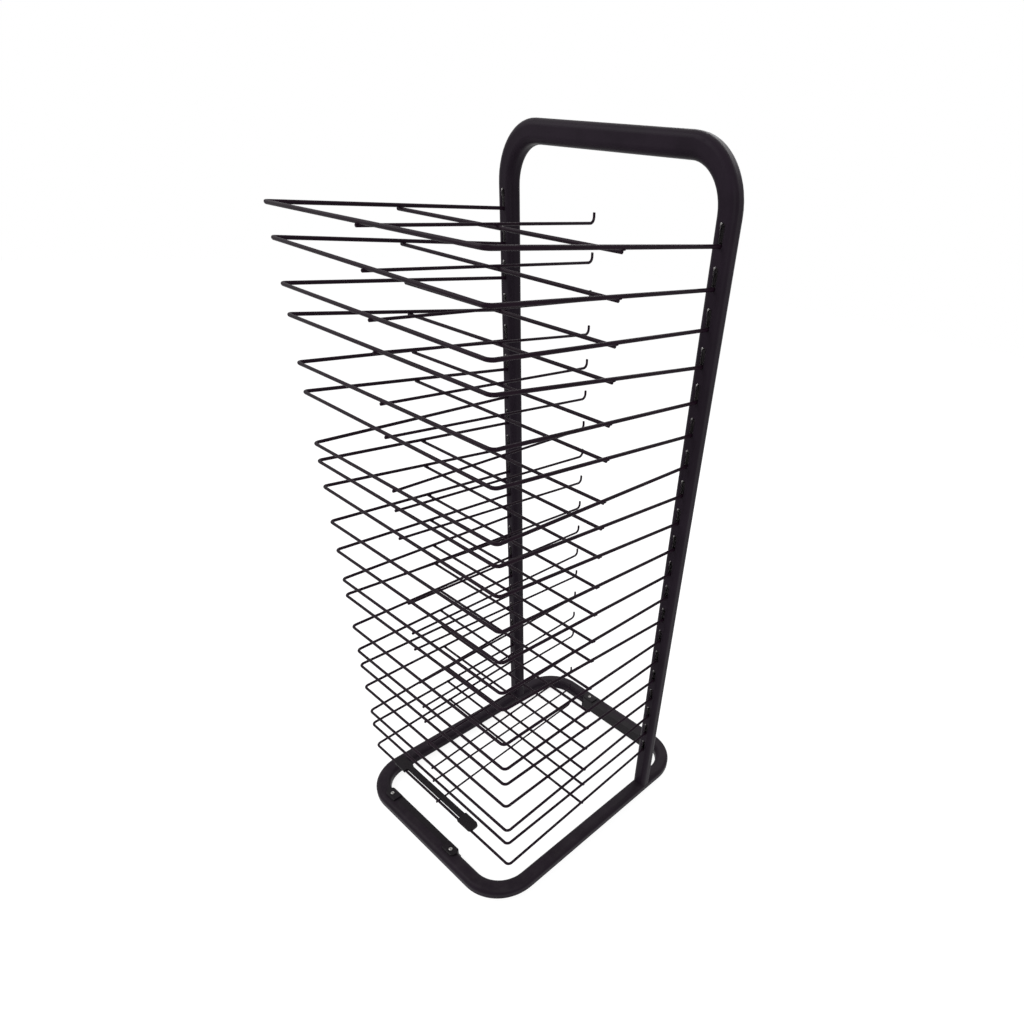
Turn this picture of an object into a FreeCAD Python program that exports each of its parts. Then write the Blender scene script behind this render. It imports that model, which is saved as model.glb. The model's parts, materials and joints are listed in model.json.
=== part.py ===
import FreeCAD, Part
import math
import os
import re
import Sketcher

# Drying rack for artwork.  A bent hoop of rounded tube stands on a flat ring of
# the same tube.  Wire shelves hook into slots in the two uprights, one above the
# other, and each can be tipped up so that the one below it can be reached.
#
# Axes: X to the right, Y to the rear, Z up, millimetres.  The origin is the
# middle of the footprint on the floor.

V = FreeCAD.Vector
SHELVES = 20
SHEET = "Sizes"

doc = FreeCAD.newDocument("drying_rack")
sheet = doc.addObject("Spreadsheet::Sheet", SHEET)


# ---------------------------------------------------------------- sizes

SIZES = [
    # frame
    ("rack_span", 336.0, "uprights, side tubes and shelf wires, centre to centre"),
    ("tube_wide", 24.0, "tube section, across"),
    ("tube_deep", 21.5, "tube section, front to back on the hoop and up on the ring"),
    ("tube_corner", 7.5, "outer corner radius of the tube"),
    ("tube_wall", 1.5, "wall of the tube"),
    ("hoop_top", 932.0, "floor to the top of the hoop"),
    ("hoop_bend", 54.0, "centreline radius of the hoop's two bends"),
    ("ring_depth", 456.0, "ring, front edge to rear edge"),
    ("ring_bend", 58.0, "centreline radius of the ring's corners"),
    ("hoop_setback", 110.0, "rear edge of the ring to the middle of the uprights"),
    ("cope_deep", 4.0, "how far the feet of the hoop reach down round the ring"),
    ("seat_gap", 0.1, "clearance between pieces that are fastened together"),
    # slots
    ("shelf_drop", 91.0, "top of the hoop to the wires of the highest shelf"),
    ("low_shelf", 109.5, "floor to the wires of the lowest shelf"),
    ("slot_wide", 6.0, "width of a slot"),
    ("slot_rise", 20.0, "wire to the top of its slot"),
    ("slot_round", 2.7, "corner radius of a slot"),
    ("wire_play", 0.1, "least gap under a wire in its slot"),
    # shelves
    ("wire_size", 4.0, "diameter of the outline wire"),
    ("shelf_reach", 300.0, "face of the uprights to the front wire"),
    ("front_bend", 6.0, "centreline radius of the front corners"),
    ("hook_leg", 12.0, "wire to the end of the hook inside the tube"),
    ("hook_bend", 4.0, "centreline radius of the hook"),
    ("hook_play", 0.3, "least gap from a hook to the rear wall of the tube"),
    ("pivot_inset", 1.25, "inside of the front wall to the line a shelf rocks on"),
    ("cross_size", 4.0, "diameter of the cross wire"),
    ("cross_place", 149.0, "face of the uprights to the cross wire"),
    ("cross_poke", 2.5, "how far the cross wire passes the side wires, on average"),
    ("cross_shift", 2.0, "middle of the shelf to the middle of the cross wire"),
    ("mid_size", 3.0, "diameter of the middle wire"),
    ("weld_sink", 0.5, "how far crossing wires are pressed into each other"),
    ("stop_gap", 9.5, "face of the uprights to the upturned stop"),
    ("stop_rise", 12.0, "side wires to the tip of the stop"),
    ("stop_bend", 6.0, "centreline radius under the stop"),
    ("mid_poke", 3.0, "how far the middle wire passes the front wire"),
    # foot bars under the ring, and the grip on the lowest shelf
    ("glide_high", 3.0, "floor to the ring, and thickness of the foot bars"),
    ("glide_long", 182.0, "foot bar, along the tube"),
    ("glide_shift", 28.0, "middle of the rack to the middle of a foot bar"),
    ("glide_foot", 18.0, "foot bar, width of its sole across the tube"),
    ("glide_lap", 2.0, "how far the tabs pass the middle of the tube"),
    ("glide_edge", 2.5, "edge radius of the wall and tabs"),
    ("glide_round", 7.0, "corner radius of the tabs seen from above"),
    ("lobe_long", 26.0, "length of the tab at each end of a foot bar"),
    ("sole_round", 1.2, "edge radius of the sole"),
    ("screw_size", 3.0, "shank of the screws in the foot bars"),
    ("screw_long", 9.0, "shank length of those screws"),
    ("screw_head", 6.0, "head diameter of those screws"),
    ("screw_dome", 1.9, "head height of those screws"),
    ("screw_rim", 0.8, "height of the upright edge of the screw's head"),
    ("screw_inset", 5.5, "middle of the tube to a screw"),
    ("screw_place", 79.0, "middle of a foot bar to a screw"),
    ("grip_long", 198.0, "grip, along the front wire"),
    ("grip_shift", 15.0, "middle of the shelf to the middle of the grip"),
    ("grip_high", 5.2, "thickness of the grip"),
    ("grip_lap", 1.0, "how far the grip reaches below the middle of the wire"),
    ("grip_lip", 3.4, "middle of the wire to the front of the grip at its ends"),
    ("grip_deep", 14.0, "middle of the wire to the rear of the grip at its ends"),
    ("grip_gap", 3.2, "middle of the wire to the front of the grip between its ends"),
    ("grip_waist", 2.0, "how much shallower the rear of the grip is between its ends"),
    ("grip_lobe", 30.0, "length of the clip at each end of the grip"),
    ("grip_round", 5.0, "corner radius of the grip seen from above"),
    # joint of hoop and ring
    ("bolt_size", 6.0, "shank of the hoop bolt"),
    ("bolt_long", 16.0, "shank length of the hoop bolt"),
    ("bolt_head", 10.0, "head diameter of the hoop bolt"),
    ("bolt_head_high", 6.0, "head height of the hoop bolt"),
    ("bolt_bevel", 0.6, "bevel on the head and the end of the hoop bolt"),
    ("key_size", 5.0, "hexagon socket across flats"),
    ("key_deep", 3.0, "depth of the hexagon socket"),
    ("washer_size", 12.0, "outside of the washer"),
    ("washer_thick", 1.6, "thickness of the washer"),
    ("bolt_play", 0.3, "radial clearance round the bolt in sheet metal"),
    ("thread_play", 0.05, "radial clearance of the bolt in its plug"),
    ("access_size", 14.0, "hole under the ring for the bolt and its key"),
    ("plug_high", 22.0, "threaded plug in the foot of the hoop"),
]

# How far each shelf leans forward, in degrees, from the highest to the lowest:
# the hooks of the lower ones have opened under their loads.
DROOPS = [1.0, 0.0, 0.0, -2.0, -0.5, -1.5, 2.0, -1.0, -1.5, -0.5,
          0.0, 1.0, -1.5, 2.0, 3.0, 1.0, 2.0, 4.5, 2.5, 4.5]

# Sizes that follow from the others.
DERIVED = [
    ("hoop_y", "ring_depth / 2 - hoop_setback", "middle of the uprights"),
    ("hoop_face", "hoop_y - tube_deep / 2", "front face of the uprights"),
    ("top_shelf", "hoop_top - shelf_drop", "floor to the wires of the highest shelf"),
    ("shelf_pitch", "(top_shelf - low_shelf) / %d" % (SHELVES - 1), "from one shelf to the next"),
    ("ring_top", "glide_high + tube_deep", "top of the ring"),
    ("ring_mid", "glide_high + tube_deep / 2", "centreline of the ring"),
    ("ring_half", "ring_depth / 2 - tube_wide / 2", "middle of the rack to the end tubes"),
    ("tube_inner", "max(tube_corner - tube_wall; 0.5)", "inner corner radius of the tube"),
    ("pivot_y", "hoop_face + tube_wall + pivot_inset", "line that the shelves rock on"),
    ("to_face", "tube_wall + pivot_inset", "rocking line to the face of the uprights"),
    ("droop_most", "max(" + "; ".join("droop_%02d" % (k + 1) for k in range(SHELVES)) + "; 0)",
     "steepest lean"),
    ("slot_low", "wire_size / 2 / cos(droop_most * 1 deg) + to_face * tan(droop_most * 1 deg)"
     " + wire_play", "wire to the bottom of its slot"),
    ("hook_in", "tube_deep - 2 * tube_wall - pivot_inset - wire_size / 2 - hook_play"
     " - hook_leg * sin(droop_most * 1 deg)", "rocking line to the leg of the hook"),
    ("cross_drop", "(wire_size + cross_size) / 2 - weld_sink", "cross wire under the side wires"),
    ("mid_front", "(wire_size + mid_size) / 2 - weld_sink", "middle wire under the front wire"),
    ("mid_cross", "cross_drop - (cross_size + mid_size) / 2 + weld_sink",
     "middle wire below the side wires where it lies on the cross wire"),
    ("mid_slope", "(mid_front - mid_cross) / (shelf_reach - cross_place)",
     "climb of the middle wire towards the rear"),
    ("mid_tip", "mid_front + mid_slope * mid_poke", "front end of the middle wire below the side wires"),
    ("plug_wide", "tube_wide - 2 * tube_wall - 2 * seat_gap", "plug, across"),
    ("plug_deep", "tube_deep - 2 * tube_wall - 2 * seat_gap", "plug, front to back"),
    ("washer_drop", "tube_inner - sqrt(tube_inner ^ 2 - max(washer_size / 2 - tube_wide / 2"
     " + tube_corner; 0) ^ 2)", "washer below the wall, where the tube's corners hold its edge"),
    ("head_z", "ring_top - tube_wall - washer_drop - washer_thick", "underside of the washer"),
]

CELLS = {entry[0] for entry in SIZES + DERIVED} | {"droop_%02d" % (k + 1) for k in range(SHELVES)}


def named(formula):
    """A formula of cell names, with each name pointed at the sheet."""
    return re.sub(r"[a-z]\w*", lambda word: SHEET + "." + word[0] if word[0] in CELLS else word[0],
                  formula)


def value(formula):
    """The present value of a formula of cell names."""
    found = sheet.evalExpression(named(formula))
    return float(getattr(found, "Value", found))


def fill_sheet():
    """Write every named cell: the name, what it holds and what it is."""
    rows = [(alias, str(number), note) for alias, number, note in SIZES]
    rows += [("droop_%02d" % (k + 1), str(droop), "lean of shelf %d" % (k + 1))
             for k, droop in enumerate(DROOPS)]
    rows += [(alias, "=" + formula, note) for alias, formula, note in DERIVED]
    for at, (alias, content, note) in enumerate(rows, start=1):
        sheet.set("A%d" % at, alias)
        sheet.set("B%d" % at, content)
        sheet.set("C%d" % at, note)
        sheet.setAlias("B%d" % at, alias)
    doc.recompute()


fill_sheet()


# ---------------------------------------------------------------- helpers

def bind(thing, **formulas):
    """Bind properties to formulas of the sheet; a double underscore stands for a dot."""
    for name, formula in formulas.items():
        thing.setExpression(name.replace("__", "."), named(formula))


def body(label):
    """A new body whose label names its file."""
    new = doc.addObject("PartDesign::Body", label)
    new.Label = label
    return new


def plane(owner, role):
    """One of the body's own origin planes."""
    return [f for f in owner.Origin.OriginFeatures if f.Role == role][0]


def sketch(owner, name, role, **offset):
    """A sketch on an origin plane of its body, lifted by bound offsets x, y and z."""
    new = owner.newObject("Sketcher::SketchObject", name)
    new.AttachmentSupport = [(plane(owner, role), "")]
    new.MapMode = "FlatFace"
    for axis, formula in offset.items():
        new.setExpression("AttachmentOffset.Base." + axis, named(formula))
    return new


def rule(sk, kind, geo, formula):
    """A radius or diameter bound to a formula of the sheet."""
    index = sk.addConstraint(Sketcher.Constraint(kind, geo, value(formula)))
    sk.setExpression("Constraints[%d]" % index, named(formula))


def circle(sk, diameter, x="0", y="0"):
    """A circle with a bound diameter, centred at bound coordinates."""
    c = sk.addGeometry(Part.Circle(V(value(x), value(y), 0), V(0, 0, 1), value(diameter) / 2))
    rule(sk, "Diameter", c, diameter)
    pin_point(sk, c, 3, x, y)


def pin_point(sk, geo, end, x, y):
    """Fix a point of the sketch at bound coordinates."""
    for kind, formula in (("DistanceX", x), ("DistanceY", y)):
        start = value(formula)
        index = sk.addConstraint(Sketcher.Constraint(kind, -1, 1, geo, end, start))
        if formula != "0":
            sk.setExpression("Constraints[%d]" % index, named(formula))


def rounded_rectangle(sk, wide, high, radius, x="0", y="0"):
    """A rounded rectangle of bound width, height and corner radius about a bound point."""
    w, h, r = value(wide) / 2, value(high) / 2, value(radius)
    cx, cy = value(x), value(y)
    turns = [(w - r, h - r, 0), (r - w, h - r, 90), (r - w, r - h, 180), (w - r, r - h, 270)]
    arcs = []
    for ax, ay, start in turns:
        round_corner = Part.Circle(V(cx + ax, cy + ay, 0), V(0, 0, 1), r)
        a = math.radians(start)
        arcs.append(sk.addGeometry(Part.ArcOfCircle(round_corner, a, a + math.pi / 2)))
    for i, first in enumerate(arcs):
        after = arcs[(i + 1) % 4]
        p = sk.getPoint(first, 2)
        q = sk.getPoint(after, 1)
        side = sk.addGeometry(Part.LineSegment(p, q))
        sk.addConstraint(Sketcher.Constraint("Tangent", first, 2, side, 1))
        sk.addConstraint(Sketcher.Constraint("Tangent", side, 2, after, 1))
        sk.addConstraint(Sketcher.Constraint("Horizontal" if i % 2 == 0 else "Vertical", side))
        if i:
            sk.addConstraint(Sketcher.Constraint("Equal", arcs[0], first))
    rule(sk, "Radius", arcs[0], radius)
    half = "(%s) / 2 - (%s)" % (wide, radius)
    tall = "(%s) / 2 - (%s)" % (high, radius)
    pin_point(sk, arcs[0], 3, "(%s) + %s" % (x, half), "(%s) + %s" % (y, tall))
    pin_point(sk, arcs[2], 3, "(%s) - (%s)" % (x, half), "(%s) - (%s)" % (y, tall))


def bent_line(sk, points, bends):
    """A path through bound points; each corner between two runs is an arc of a bound radius."""
    at = [V(value(x), value(y), 0) for x, y in points]
    radii = [value(b) for b in bends]
    ends = [at[0]]
    arcs = []
    for i in range(1, len(at) - 1):
        into = (at[i] - at[i - 1]).normalize()
        out = (at[i + 1] - at[i]).normalize()
        turn = into.getAngle(out)
        trim = radii[i - 1] * math.tan(turn / 2)
        side = 1 if into.cross(out).z > 0 else -1
        centre = at[i] - into * trim + V(-into.y, into.x, 0) * side * radii[i - 1]
        arcs.append((at[i] - into * trim, at[i] + out * trim, centre, side, radii[i - 1]))
        ends += [at[i] - into * trim, at[i] + out * trim]
    ends.append(at[-1])
    lines = [sk.addGeometry(Part.LineSegment(ends[2 * i], ends[2 * i + 1]))
             for i in range(len(at) - 1)]
    for i, (start, stop, centre, side, radius) in enumerate(arcs):
        first, last = (start, stop) if side > 0 else (stop, start)
        a = math.atan2(first.y - centre.y, first.x - centre.x)
        b = math.atan2(last.y - centre.y, last.x - centre.x)
        if b < a:
            b += 2 * math.pi
        bend = sk.addGeometry(Part.ArcOfCircle(Part.Circle(centre, V(0, 0, 1), radius), a, b))
        head, tail = (1, 2) if side > 0 else (2, 1)
        sk.addConstraint(Sketcher.Constraint("Tangent", lines[i], 2, bend, head))
        sk.addConstraint(Sketcher.Constraint("Tangent", bend, tail, lines[i + 1], 1))
        rule(sk, "Radius", bend, bends[i])
        corner = sk.addGeometry(Part.Point(at[i + 1]))
        sk.setConstruction(corner, True)
        pin_point(sk, corner, 1, *points[i + 1])
        sk.addConstraint(Sketcher.Constraint("PointOnObject", corner, 1, lines[i]))
        sk.addConstraint(Sketcher.Constraint("PointOnObject", corner, 1, lines[i + 1]))
    pin_point(sk, lines[0], 1, *points[0])
    pin_point(sk, lines[-1], 2, *points[-1])


def pipe(owner, kind, name, profile, spine):
    """Sweep a profile along a path, adding to or taking from the body."""
    new = owner.newObject("PartDesign::" + kind, name)
    new.Profile = profile
    new.Spine = spine
    return new


def extrude(owner, kind, name, profile, long, both=False, reverse=False):
    """Push a profile a bound length to one side of its sketch, or evenly to both."""
    new = owner.newObject("PartDesign::" + kind, name)
    new.Profile = profile
    new.Type = 0
    new.Midplane = both
    new.Reversed = reverse
    bind(new, Length=long)
    return new


def copy_of(pattern, label):
    """A body that repeats another one."""
    holder = body(label)
    copy = holder.newObject("PartDesign::FeatureBase", label + "_copy")
    copy.BaseFeature = pattern
    holder.Tip = copy
    return holder


# ---------------------------------------------------------------- hoop

def make_hoop():
    """The bent tube: two uprights joined by a top bar, slotted and coped."""
    hoop = body("upright_hoop")
    foot = "ring_top - cope_deep"
    path = sketch(hoop, "HoopPath", "XZ_Plane")
    bent_line(path,
              [("-rack_span / 2", foot), ("-rack_span / 2", "hoop_top - tube_wide / 2"),
               ("rack_span / 2", "hoop_top - tube_wide / 2"), ("rack_span / 2", foot)],
              ["hoop_bend", "hoop_bend"])
    outside = sketch(hoop, "HoopOutside", "XY_Plane", x="-rack_span / 2", z=foot)
    rounded_rectangle(outside, "tube_wide", "tube_deep", "tube_corner")
    inside = sketch(hoop, "HoopInside", "XY_Plane", x="-rack_span / 2", z=foot)
    rounded_rectangle(inside, "tube_wide - 2 * tube_wall", "tube_deep - 2 * tube_wall", "tube_inner")
    pipe(hoop, "AdditivePipe", "HoopTube", outside, path)
    pipe(hoop, "SubtractivePipe", "HoopHollow", inside, path)

    # The feet sit astride the ring, so its section is cut out of them.
    cope = sketch(hoop, "HoopCope", "XZ_Plane")
    for x in ("-rack_span / 2", "rack_span / 2"):
        rounded_rectangle(cope, "tube_wide + 2 * seat_gap", "tube_deep",
                          "tube_corner", x, "ring_mid")
    extrude(hoop, "Pocket", "HoopFeet", cope, "2 * tube_deep", both=True)

    # One slot in the face of each upright, repeated down the hoop.
    slots = sketch(hoop, "SlotPair", "XZ_Plane")
    low, high = "top_shelf - slot_low", "top_shelf + slot_rise"
    for x in ("-rack_span / 2", "rack_span / 2"):
        rounded_rectangle(slots, "slot_wide", "slot_low + slot_rise", "slot_round",
                          x, "(%s + %s) / 2" % (low, high))
    first = extrude(hoop, "Pocket", "FirstSlots", slots, "tube_deep", reverse=True)
    row_of = hoop.newObject("PartDesign::LinearPattern", "SlotRow")
    row_of.Originals = [first]
    row_of.Direction = (slots, ["V_Axis"])
    row_of.Reversed = True
    row_of.Occurrences = SHELVES
    bind(row_of, Length="shelf_pitch * %d" % (SHELVES - 1))
    hoop.Tip = row_of
    bind(hoop, Placement__Base__y="hoop_y")
    return hoop


# ---------------------------------------------------------------- ring

# Where the screws go in: two in the front tube, and two in the rear one, turned half round.
SCREWS = [("-glide_shift - screw_place", "screw_inset - ring_half"),
          ("-glide_shift + screw_place", "screw_inset - ring_half"),
          ("glide_shift + screw_place", "ring_half - screw_inset"),
          ("glide_shift - screw_place", "ring_half - screw_inset")]


def make_ring():
    """The base: the same tube bent into a closed ring that lies flat."""
    ring = body("base_ring")
    path = sketch(ring, "RingPath", "XY_Plane")
    rounded_rectangle(path, "rack_span", "2 * ring_half", "ring_bend")
    outside = sketch(ring, "RingOutside", "XZ_Plane", x="rack_span / 2")
    rounded_rectangle(outside, "tube_wide", "tube_deep", "tube_corner")
    inside = sketch(ring, "RingInside", "XZ_Plane", x="rack_span / 2")
    rounded_rectangle(inside, "tube_wide - 2 * tube_wall", "tube_deep - 2 * tube_wall", "tube_inner")
    pipe(ring, "AdditivePipe", "RingTube", outside, path)
    pipe(ring, "SubtractivePipe", "RingHollow", inside, path)

    bolts = sketch(ring, "BoltHoles", "XY_Plane")
    access = sketch(ring, "AccessHoles", "XY_Plane")
    for x in ("-rack_span / 2", "rack_span / 2"):
        circle(bolts, "bolt_size + 2 * bolt_play", x, "hoop_y")
        circle(access, "access_size", x, "hoop_y")
    extrude(ring, "Pocket", "BoltCuts", bolts, "tube_deep", reverse=True)
    extrude(ring, "Pocket", "AccessCuts", access, "tube_deep")

    screws = sketch(ring, "ScrewHoles", "XY_Plane")
    for x, y in SCREWS:
        circle(screws, "screw_size + 2 * thread_play", x, y)
    extrude(ring, "Pocket", "ScrewCuts", screws, "tube_deep", reverse=True)
    bind(ring, Placement__Base__z="ring_mid")
    return ring


# ---------------------------------------------------------------- shelves

def make_shelf_pattern():
    """One shelf in its own frame: the rocking line is the origin, the wires reach to -Y."""
    shelf = body("shelf_pattern")
    left, right = "-rack_span / 2", "rack_span / 2"
    front = "-(to_face + shelf_reach)"
    joint = "hook_in - hook_bend - wire_size"

    outline = sketch(shelf, "OutlinePath", "XY_Plane")
    bent_line(outline, [(left, joint), (left, front), (right, front), (right, joint)],
              ["front_bend", "front_bend"])
    section = sketch(shelf, "OutlineSection", "XZ_Plane", x=left, z="-(%s)" % joint)
    circle(section, "wire_size")
    pipe(shelf, "AdditivePipe", "OutlineWire", section, outline)

    # Each side wire turns down inside the upright.
    for side, x in (("Left", left), ("Right", right)):
        bend = sketch(shelf, side + "HookPath", "YZ_Plane", z=x)
        bent_line(bend, [(joint, "0"), ("hook_in", "0"), ("hook_in", "-hook_leg")], ["hook_bend"])
        end = sketch(shelf, side + "HookSection", "XZ_Plane", x=x, z="-(%s)" % joint)
        circle(end, "wire_size")
        pipe(shelf, "AdditivePipe", side + "Hook", end, bend)

    # The cross wire lies under the side wires.
    cross = sketch(shelf, "CrossSection", "YZ_Plane", z="-cross_shift")
    circle(cross, "cross_size", "-(to_face + cross_place)", "-cross_drop")
    extrude(shelf, "Pad", "CrossWire", cross, "rack_span + 2 * cross_poke", both=True)

    # The middle wire passes under the front wire, over the cross wire, and turns up
    # as a stop just ahead of the uprights.
    tip, stop = "%s - mid_poke" % front, "-(to_face + stop_gap)"
    middle = sketch(shelf, "MiddlePath", "YZ_Plane")
    bent_line(middle, [(tip, "-mid_tip"),
                       (stop, "-mid_front + mid_slope * (shelf_reach - stop_gap)"),
                       (stop, "stop_rise")], ["stop_bend"])
    end = sketch(shelf, "MiddleSection", "XZ_Plane", z="-(%s)" % tip, y="-mid_tip")
    end.AttachmentOffset = FreeCAD.Placement(V(0, 0, 0), FreeCAD.Rotation(V(1, 0, 0), 1))
    bind(end, AttachmentOffset__Base__z="-(%s)" % tip, AttachmentOffset__Base__y="-mid_tip",
         AttachmentOffset__Rotation__Angle="atan(mid_slope)")
    circle(end, "mid_size")
    pipe(shelf, "AdditivePipe", "MiddleWire", end, middle)
    return shelf


def hang_shelf(pattern, k):
    """A copy of the shelf, hung in the k-th pair of slots at its own lean."""
    shelf = copy_of(pattern, "shelf_%02d" % (k + 1))
    shelf.Placement = FreeCAD.Placement(V(0, 0, 0), FreeCAD.Rotation(V(1, 0, 0), 1))
    bind(shelf, Placement__Base__y="pivot_y", Placement__Base__z="top_shelf - shelf_pitch * %d" % k,
         Placement__Rotation__Angle="droop_%02d" % (k + 1))
    return shelf


# ---------------------------------------------------------------- glides and fasteners

def make_glide():
    """A moulded foot bar: a sole under the tube, a wall up its inner side, a tab over each end."""
    glide = body("glide_pattern")
    inner = "tube_wide / 2 + glide_high"
    block = sketch(glide, "BarOutside", "YZ_Plane")
    rounded_rectangle(block, "%s + glide_lap" % inner, "tube_deep + 2 * glide_high", "glide_edge",
                      "(%s - glide_lap) / 2" % inner, "ring_mid")
    extrude(glide, "Pad", "BarBlock", block, "glide_long", both=True)
    sole = sketch(glide, "BarSole", "YZ_Plane")
    rounded_rectangle(sole, "glide_foot", "2 * glide_high", "sole_round", "0", "glide_high")
    extrude(glide, "Pad", "BarFoot", sole, "glide_long", both=True)

    # The seat for the tube follows the ring, whose corner begins near one end of the bar.
    # The outer side is open: the bar goes on from inside the ring.
    path = sketch(glide, "BarPath", "XY_Plane", z="ring_mid")
    rounded_rectangle(path, "rack_span", "2 * ring_half", "ring_bend", "glide_shift", "ring_half")
    seat = sketch(glide, "BarBore", "XZ_Plane", x="glide_shift + rack_span / 2", y="ring_mid",
                  z="-ring_half")
    rounded_rectangle(seat, "tube_wide + 2 * seat_gap", "tube_deep + 2 * seat_gap",
                      "tube_corner + seat_gap")
    pipe(glide, "SubtractivePipe", "BarSeat", seat, path)

    # Between the two tabs the wall stops level with the tube.
    waist = sketch(glide, "BarWaist", "XY_Plane", z="ring_top + seat_gap")
    rounded_rectangle(waist, "glide_long - 2 * lobe_long", "2 * tube_wide", "glide_round")
    extrude(glide, "Pocket", "BarDip", waist, "tube_deep", reverse=True)

    # Seen from above the tabs have round corners.
    trim = sketch(glide, "BarTrim", "XY_Plane", z="ring_mid")
    rounded_rectangle(trim, "glide_long + 2 * tube_wide", "3 * tube_wide", "glide_round")
    rounded_rectangle(trim, "glide_long", "%s + glide_lap" % inner, "glide_round",
                      "0", "(%s - glide_lap) / 2" % inner)
    extrude(glide, "Pocket", "BarCorners", trim, "2 * tube_deep", reverse=True)
    holes = sketch(glide, "BarHoles", "XY_Plane", z="ring_mid")
    for x in ("-screw_place", "screw_place"):
        circle(holes, "screw_size + 2 * bolt_play", x, "screw_inset")
    extrude(glide, "Pocket", "BarDrill", holes, "tube_deep", reverse=True)
    return glide


def make_grip():
    """The moulded grip, whose two ends snap over the front wire of the lowest shelf."""
    grip = body("shelf_grip")
    wire = "-(to_face + shelf_reach)"
    plan = sketch(grip, "GripPlan", "XY_Plane", z="-grip_lap")
    rounded_rectangle(plan, "grip_long", "grip_lip + grip_deep", "grip_round",
                      "-grip_shift", "%s + (grip_deep - grip_lip) / 2" % wire)
    extrude(grip, "Pad", "GripPlate", plan, "grip_high")
    waist = sketch(grip, "GripWaist", "XY_Plane", z="-grip_lap")
    for high, y in (("2 * grip_waist", "%s + grip_deep" % wire),
                    ("2 * (grip_lip + grip_gap)", "%s - grip_lip" % wire)):
        rounded_rectangle(waist, "grip_long - 2 * grip_lobe", high, "grip_waist - seat_gap",
                          "-grip_shift", y)
    extrude(grip, "Pocket", "GripDip", waist, "grip_high", reverse=True)
    bore = sketch(grip, "GripBore", "YZ_Plane", z="-grip_shift")
    circle(bore, "wire_size + 2 * wire_play", wire)
    extrude(grip, "Pocket", "GripSeat", bore, "2 * grip_long", both=True)
    grip.Placement = FreeCAD.Placement(V(0, 0, 0), FreeCAD.Rotation(V(1, 0, 0), 1))
    bind(grip, Placement__Base__y="pivot_y", Placement__Base__z="low_shelf",
         Placement__Rotation__Angle="droop_%02d" % SHELVES)
    return grip


def make_plug():
    """The threaded plug in the foot of an upright, its underside at the origin."""
    plug = body("plug_pattern")
    outside = sketch(plug, "PlugOutside", "XY_Plane")
    rounded_rectangle(outside, "plug_wide", "plug_deep", "max(tube_inner - seat_gap; 0.3)")
    extrude(plug, "Pad", "PlugBlock", outside, "plug_high")
    bore = sketch(plug, "PlugBore", "XY_Plane")
    circle(bore, "bolt_size + 2 * thread_play")
    extrude(plug, "Pocket", "PlugThread", bore, "plug_high", reverse=True)
    return plug


def turned(label, outline):
    """A piece turned about Z from an outline of bound radii and heights."""
    piece = body(label)
    side = sketch(piece, label + "_side", "XZ_Plane")
    corners = [V(value(x), value(z), 0) for x, z in outline]
    edges = [side.addGeometry(Part.LineSegment(a, b))
             for a, b in zip(corners, corners[1:] + corners[:1])]
    for first, after in zip(edges, edges[1:] + edges[:1]):
        side.addConstraint(Sketcher.Constraint("Coincident", first, 2, after, 1))
    for edge, (x, z) in zip(edges, outline):
        pin_point(side, edge, 1, x, z)
    spin = piece.newObject("PartDesign::Revolution", label + "_spin")
    spin.Profile = side
    spin.ReferenceAxis = (side, ["V_Axis"])
    spin.Angle = 360
    return piece


def make_screw():
    """A pan-head screw, pointing down, its head seated at the origin."""
    return turned("screw_pattern", [
        ("0", "-screw_long"),
        ("screw_size / 2", "-(screw_long - screw_size / 2)"),
        ("screw_size / 2", "0"),
        ("screw_head / 2", "0"),
        ("screw_head / 2", "screw_rim"),
        ("screw_head / 2 - screw_rim", "(screw_rim + 2 * screw_dome) / 3"),
        ("screw_head / 4", "screw_dome"),
        ("0", "screw_dome")])


def make_bolt():
    """A socket-head bolt, pointing up, its head hanging below the origin."""
    bolt = turned("bolt_pattern", [
        ("0", "-bolt_head_high"),
        ("bolt_head / 2 - bolt_bevel", "-bolt_head_high"),
        ("bolt_head / 2", "-bolt_head_high + bolt_bevel"),
        ("bolt_head / 2", "0"),
        ("bolt_size / 2", "0"),
        ("bolt_size / 2", "bolt_long - bolt_bevel"),
        ("bolt_size / 2 - bolt_bevel", "bolt_long"),
        ("0", "bolt_long")])
    socket = sketch(bolt, "BoltSocket", "XY_Plane", z="-bolt_head_high")
    hexagon(socket, "key_size")
    extrude(bolt, "Pocket", "BoltKey", socket, "key_deep", reverse=True)
    return bolt


def hexagon(sk, flats):
    """A hexagon of a bound width across flats about the origin."""
    reach = value(flats) / 2 / math.cos(math.pi / 6)
    rim = sk.addGeometry(Part.Circle(V(0, 0, 0), V(0, 0, 1), reach))
    sk.setConstruction(rim, True)
    sk.addConstraint(Sketcher.Constraint("Coincident", rim, 3, -1, 1))
    rule(sk, "Radius", rim, "(%s) / 2 / cos(30 deg)" % flats)
    turn = math.pi / 3
    corners = [V(reach * math.cos(turn * i), reach * math.sin(turn * i), 0) for i in range(6)]
    edges = [sk.addGeometry(Part.LineSegment(corners[i], corners[(i + 1) % 6])) for i in range(6)]
    for i, edge in enumerate(edges):
        after = edges[(i + 1) % 6]
        sk.addConstraint(Sketcher.Constraint("Coincident", edge, 2, after, 1))
        sk.addConstraint(Sketcher.Constraint("PointOnObject", edge, 1, rim))
        if i:
            sk.addConstraint(Sketcher.Constraint("Equal", edges[0], edge))
    sk.addConstraint(Sketcher.Constraint("PointOnObject", edges[0], 1, -1))


def make_washer():
    """A flat washer, its underside at the origin."""
    inner = "bolt_size / 2 + bolt_play / 2"
    return turned("washer_pattern", [
        (inner, "0"),
        ("washer_size / 2", "0"),
        ("washer_size / 2", "washer_thick"),
        (inner, "washer_thick")])


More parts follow.
